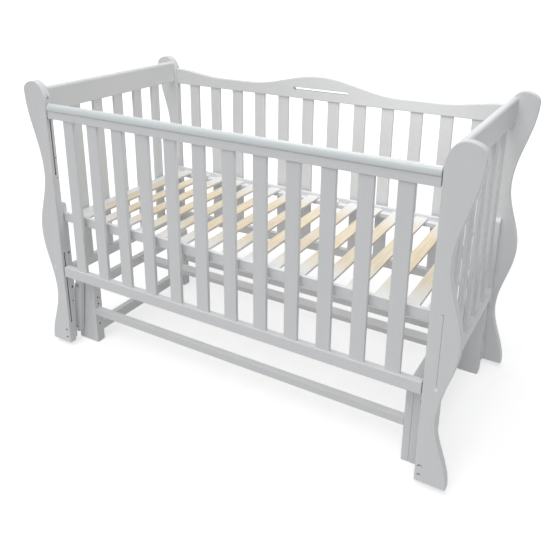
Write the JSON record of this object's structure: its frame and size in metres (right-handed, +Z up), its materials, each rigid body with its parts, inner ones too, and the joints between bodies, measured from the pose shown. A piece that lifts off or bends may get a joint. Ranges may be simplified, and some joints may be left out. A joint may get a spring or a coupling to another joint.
{
  "type": "rocking crib",
  "caption": "White slatted baby crib with wavy corner posts and a drop side, hung by four swing links from a low base so that it glides lengthways.",
  "frame": {"origin": "middle of the crib's footprint, at the floor the swing base stands on", "axes": "+Z up; +X along the crib to the right, the way it swings; the drop side faces -Y"},
  "size_m": [1.368, 0.6474, 0.896],
  "materials": {
    "white_paint": "satin white paint over solid wood",
    "gloss_paint": "smooth glossy white lacquer over a half-round rail",
    "bare_wood": "sanded bare birch slats, a little paler at their ends",
    "zinc_steel": "zinc plated bolt steel"
  },
  "bodies": {
    "base": {"base_leg_front_left": "white_paint", "base_leg_front_right": "white_paint", "base_leg_back_left": "white_paint", "base_leg_back_right": "white_paint", "base_upright_front_left": "white_paint", "base_upright_front_right": "white_paint", "base_upright_back_left": "white_paint", "base_upright_back_right": "white_paint", "base_cross_low_left": "white_paint", "base_cross_low_right": "white_paint", "base_cross_high_left": "white_paint", "base_cross_high_right": "white_paint", "base_bar_front": "white_paint", "base_bar_back": "white_paint", "base_stretcher": "white_paint", "pivot_bolt_front_left": "zinc_steel", "pivot_bolt_front_right": "zinc_steel", "pivot_bolt_back_left": "zinc_steel", "pivot_bolt_back_right": "zinc_steel"},
    "swing_link_front_left": {"link_front_left": "white_paint"},
    "swing_link_front_right": {"link_front_right": "white_paint"},
    "swing_link_back_left": {"link_back_left": "white_paint"},
    "swing_link_back_right": {"link_back_right": "white_paint"},
    "crib": {"post_front_left": "white_paint", "post_front_right": "white_paint", "post_back_left": "white_paint", "post_back_right": "white_paint", "batten_front_left": "white_paint", "batten_front_right": "white_paint", "batten_back_left": "white_paint", "batten_back_right": "white_paint", "back_top_rail": "white_paint", "back_panel": "white_paint", "end_top_rail_left": "white_paint", "end_top_rail_right": "white_paint", "end_panel_left": "white_paint", "end_panel_right": "white_paint", "bed_rail_front": "white_paint", "bed_rail_back": "white_paint", "bed_rail_left": "white_paint", "bed_rail_right": "white_paint", "bed_slat_01": "bare_wood", "bed_slat_02": "bare_wood", "bed_slat_03": "bare_wood", "bed_slat_04": "bare_wood", "bed_slat_05": "bare_wood", "bed_slat_06": "bare_wood", "bed_slat_07": "bare_wood", "bed_slat_08": "bare_wood", "bed_slat_09": "bare_wood", "bed_slat_10": "bare_wood", "bed_slat_11": "bare_wood", "bed_slat_12": "bare_wood", "bed_slat_13": "bare_wood", "bed_slat_14": "bare_wood", "bed_slat_15": "bare_wood"},
    "drop_side": {"drop_side_panel": "white_paint", "drop_side_top_rail": "white_paint", "drop_side_cap": "gloss_paint"}
  },
  "joints": [
    {"name": "swing", "type": "hinge", "parent": "base", "child": "swing_link_front_left", "pos_m": [-0.5913, -0.2662, 0.21], "axis": [0, 1, 0], "range_deg": [-12, 12]},
    {"name": "crib_hang", "type": "hinge", "parent": "swing_link_front_left", "child": "crib", "pos_m": [-0.6125, -0.2662, 0.045], "axis": [0, 1, 0], "range_deg": [-12, 12]},
    {"name": "swing_front_right", "type": "hinge", "parent": "base", "child": "swing_link_front_right", "pos_m": [0.5913, -0.2662, 0.21], "axis": [0, 1, 0], "range_deg": [-12, 12]},
    {"name": "swing_back_left", "type": "hinge", "parent": "base", "child": "swing_link_back_left", "pos_m": [-0.5913, 0.2662, 0.21], "axis": [0, 1, 0], "range_deg": [-12, 12]},
    {"name": "swing_back_right", "type": "hinge", "parent": "base", "child": "swing_link_back_right", "pos_m": [0.5913, 0.2662, 0.21], "axis": [0, 1, 0], "range_deg": [-12, 12]},
    {"name": "drop_side_slide", "type": "slide", "parent": "crib", "child": "drop_side", "axis": [0, 0, -1], "range_m": [0, 0.19]}
  ],
  "couplings": [
    {"joint": "crib_hang", "follows": "swing", "ratio": -0.965},
    {"joint": "swing_front_right", "follows": "swing", "ratio": 1},
    {"joint": "swing_back_left", "follows": "swing", "ratio": 1},
    {"joint": "swing_back_right", "follows": "swing", "ratio": 1}
  ]
}
